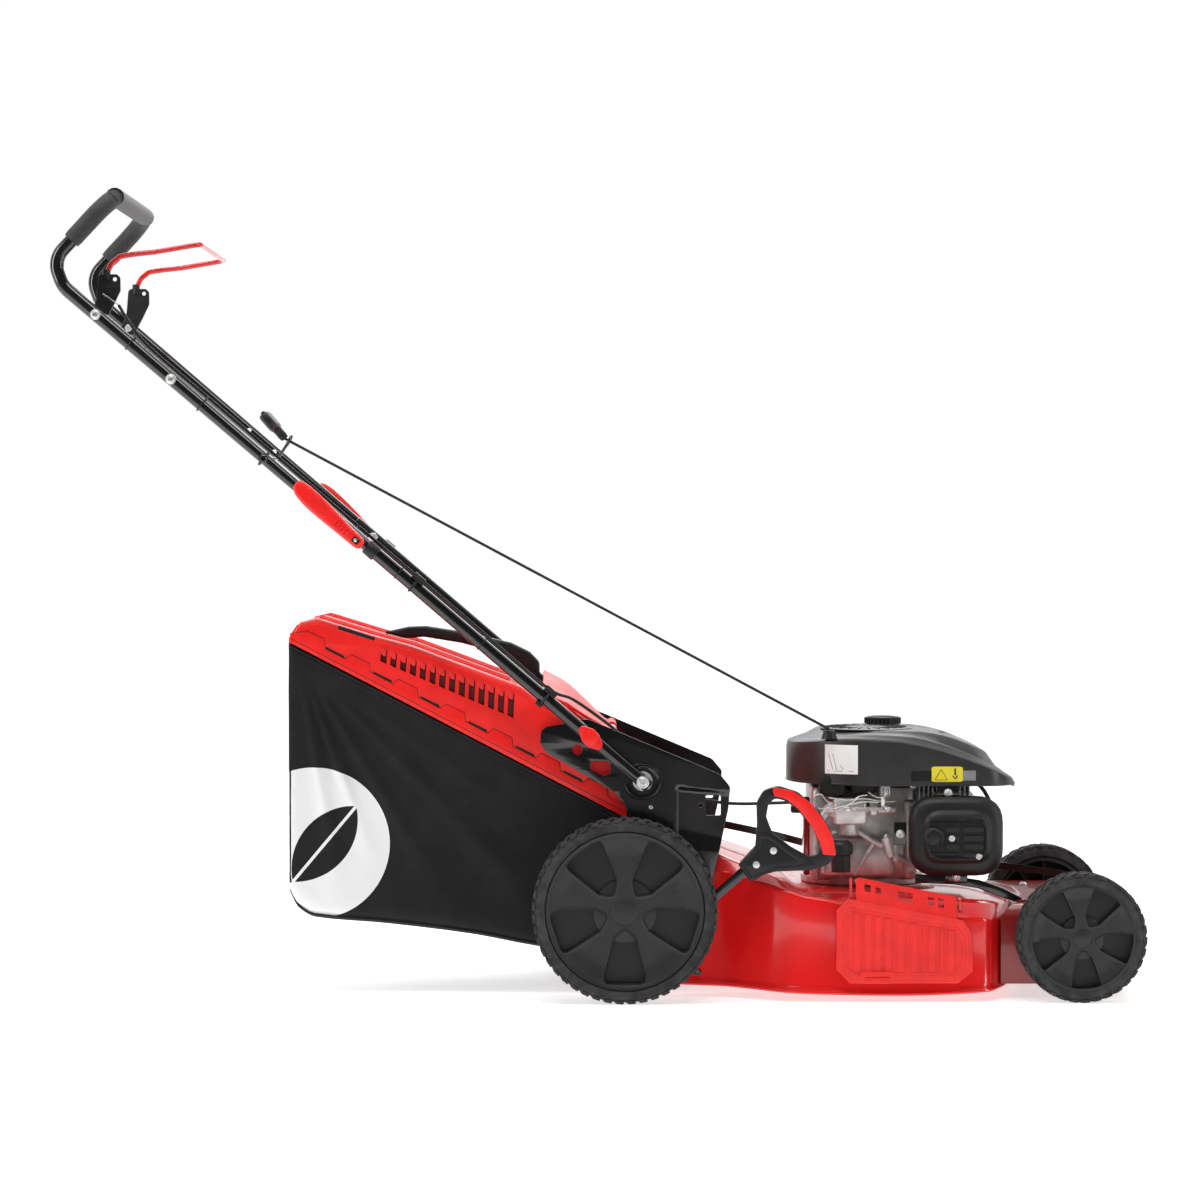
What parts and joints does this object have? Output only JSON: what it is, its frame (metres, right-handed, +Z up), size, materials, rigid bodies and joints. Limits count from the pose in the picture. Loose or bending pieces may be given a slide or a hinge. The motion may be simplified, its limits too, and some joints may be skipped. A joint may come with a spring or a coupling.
{
  "type": "push lawn mower",
  "caption": "Walk-behind petrol lawn mower with a folding handle, height lever, engine brake bail, pull starter and a lift-off rear grass catcher.",
  "frame": {"origin": "on the ground under the centre of the mower's bounding box", "axes": "+X the way it is pushed, +Y to the operator's left, +Z up"},
  "size_m": [1.6946, 0.57, 1.2609],
  "materials": {
    "red_paint": "glossy",
    "black_paint": "satin",
    "red_plastic": "satin",
    "black_plastic": "satin",
    "shroud_plastic": "glossy",
    "rubber": "matte",
    "foam": "matte",
    "fabric": "matte woven",
    "cast_aluminium": "sand cast",
    "steel": "zinc plated",
    "blade_steel": "dark oiled",
    "rope": "braided"
  },
  "bodies": {
    "deck": {"deck_shell": "red_paint", "front_apron": "red_paint", "side_plate_right": "black_paint", "side_plate_left": "black_paint", "flap_rod": "steel", "front_strap": "black_paint", "crankcase": "cast_aluminium", "cylinder_head": "cast_aluminium", "engine_shroud": "shroud_plastic", "muffler": "steel", "muffler_guard": "black_paint", "carburettor": "cast_aluminium", "air_filter_cover": "black_plastic", "oil_filler_cap": "black_plastic", "spark_plug": "black_plastic", "pivot_bolt_right": "steel", "pivot_bolt_left": "steel", "brake_cable_lower": "black_plastic"},
    "fuel_cap": {"fuel_cap": "black_plastic"},
    "crankshaft": {"crankshaft": "steel", "blade": "blade_steel", "blade_bolt": "steel"},
    "rear_axle": {"rear_axle": "steel", "height_lever": "black_paint", "lever_grip": "black_plastic", "lever_grip_insert": "red_plastic"},
    "front_axle": {"front_axle": "steel"},
    "height_link": {"height_link": "black_paint"},
    "rear_right_wheel": {"rear_right_tyre": "rubber", "rear_right_hub": "black_plastic"},
    "rear_left_wheel": {"rear_left_tyre": "rubber", "rear_left_hub": "black_plastic"},
    "front_right_wheel": {"front_right_tyre": "rubber", "front_right_hub": "black_plastic"},
    "front_left_wheel": {"front_left_tyre": "rubber", "front_left_hub": "black_plastic"},
    "lower_handle": {"lower_tube_right": "black_paint", "lower_tube_left": "black_paint"},
    "fold_knob_right": {"fold_knob_right": "red_plastic"},
    "fold_knob_left": {"fold_knob_left": "red_plastic"},
    "upper_handle": {"upper_handle_tube": "black_paint", "handle_grip": "foam", "rope_guide": "black_paint", "brake_cable_upper": "black_plastic", "cam_bolt_right": "steel", "cam_bolt_left": "steel", "bail_bolt_right": "steel", "bail_bolt_left": "steel"},
    "clamp_lever_right": {"clamp_lever_right": "red_plastic"},
    "clamp_lever_left": {"clamp_lever_left": "red_plastic"},
    "bail": {"bail": "red_plastic", "bail_lever_right": "black_plastic", "bail_lever_left": "black_plastic"},
    "starter_grip": {"starter_grip": "black_plastic"},
    "starter_rope": {"starter_rope": "rope"},
    "catcher": {"catcher_lid": "red_plastic", "catcher_bag": "fabric", "catcher_handle": "black_plastic"},
    "rear_flap": {"rear_flap": "red_plastic"},
    "chute_flap": {"chute_flap": "red_plastic"}
  },
  "joints": [
    {"name": "handle_fold", "type": "hinge", "parent": "deck", "child": "lower_handle", "pos_m": [0.0696, 0, 0.337], "axis": [0, 1, 0], "range_deg": [0, 115], "deforming": ["brake_cable_lower", "brake_cable_upper", "starter_rope"]},
    {"name": "upper_handle_fold", "type": "hinge", "parent": "lower_handle", "child": "upper_handle", "pos_m": [-0.3723, 0, 0.71575], "axis": [0, 1, 0], "range_deg": [-150, 0]},
    {"name": "starter_rope_swing", "type": "hinge", "parent": "deck", "child": "starter_rope", "pos_m": [0.365, -0.12, 0.4145], "axis": [0, 1, 0], "range_deg": [0, 70.9]},
    {"name": "fold_knob_right_turn", "type": "hinge", "parent": "lower_handle", "child": "fold_knob_right", "pos_m": [-0.01164, -0.222, 0.40663], "axis": [0, -1, 0], "continuous": true},
    {"name": "fold_knob_left_turn", "type": "hinge", "parent": "lower_handle", "child": "fold_knob_left", "pos_m": [-0.01164, 0.222, 0.40663], "axis": [0, 1, 0], "continuous": true},
    {"name": "clamp_right_open", "type": "hinge", "parent": "upper_handle", "child": "clamp_lever_right", "pos_m": [-0.36926, -0.244, 0.71315], "axis": [0.6508, 0, 0.7593], "range_deg": [0, 100]},
    {"name": "clamp_left_open", "type": "hinge", "parent": "upper_handle", "child": "clamp_lever_left", "pos_m": [-0.36926, 0.244, 0.71315], "axis": [-0.6508, 0, -0.7593], "range_deg": [0, 100]},
    {"name": "bail_pull", "type": "hinge", "parent": "upper_handle", "child": "bail", "pos_m": [-0.77623, 0, 1.06196], "axis": [0, -1, 0], "range_deg": [0, 37], "stiffness_Nm_per_rad": 2, "springref_deg": -5.73},
    {"name": "starter_pull", "type": "slide", "parent": "upper_handle", "child": "starter_grip", "axis": [-0.8821, 0, 0.471], "range_m": [0, 0.5], "stiffness_N_per_m": 10, "springref_m": -0.3},
    {"name": "height_adjust", "type": "hinge", "parent": "deck", "child": "rear_axle", "pos_m": [0.11148, 0, 0.11735], "axis": [0, -1, 0], "range_deg": [0, 40]},
    {"name": "front_axle_swing", "type": "hinge", "parent": "deck", "child": "front_axle", "pos_m": [0.81748, 0, 0.07435], "axis": [0, -1, 0], "range_deg": [0, 40]},
    {"name": "height_link_swing", "type": "hinge", "parent": "rear_axle", "child": "height_link", "pos_m": [0.132, 0.2078, 0.17373], "axis": [0, -1, 0], "range_deg": [-40, 0]},
    {"name": "rear_right_spin", "type": "hinge", "parent": "rear_axle", "child": "rear_right_wheel", "pos_m": [0.041, -0.26, 0.143], "axis": [0, 1, 0], "continuous": true},
    {"name": "rear_left_spin", "type": "hinge", "parent": "rear_axle", "child": "rear_left_wheel", "pos_m": [0.041, 0.26, 0.143], "axis": [0, 1, 0], "continuous": true},
    {"name": "front_right_spin", "type": "hinge", "parent": "front_axle", "child": "front_right_wheel", "pos_m": [0.747, -0.2475, 0.1], "axis": [0, 1, 0], "continuous": true},
    {"name": "front_left_spin", "type": "hinge", "parent": "front_axle", "child": "front_left_wheel", "pos_m": [0.747, 0.2475, 0.1], "axis": [0, 1, 0], "continuous": true},
    {"name": "crankshaft_spin", "type": "hinge", "parent": "deck", "child": "crankshaft", "pos_m": [0.425, 0, 0.047], "axis": [0, 0, 1], "continuous": true},
    {"name": "fuel_cap_turn", "type": "hinge", "parent": "deck", "child": "fuel_cap", "pos_m": [0.4635, 0.06, 0.413], "axis": [0, 0, 1], "continuous": true},
    {"name": "catcher_lift_off", "type": "slide", "parent": "deck", "child": "catcher", "axis": [-0.9272, 0, 0.3746], "range_m": [0, 0.35]},
    {"name": "rear_flap_open", "type": "hinge", "parent": "deck", "child": "rear_flap", "pos_m": [0.022, 0, 0.408], "axis": [0, 1, 0], "range_deg": [0, 70]},
    {"name": "chute_flap_open", "type": "hinge", "parent": "deck", "child": "chute_flap", "pos_m": [0.398, -0.232, 0.1855], "axis": [-0.9819, 0, 0.1892], "range_deg": [0, 80]}
  ],
  "couplings": [
    {"joint": "upper_handle_fold", "follows": "handle_fold", "ratio": -1.304},
    {"joint": "starter_rope_swing", "follows": "handle_fold", "ratio": 0.6165},
    {"joint": "front_axle_swing", "follows": "height_adjust", "ratio": 1},
    {"joint": "height_link_swing", "follows": "height_adjust", "ratio": -1}
  ]
}
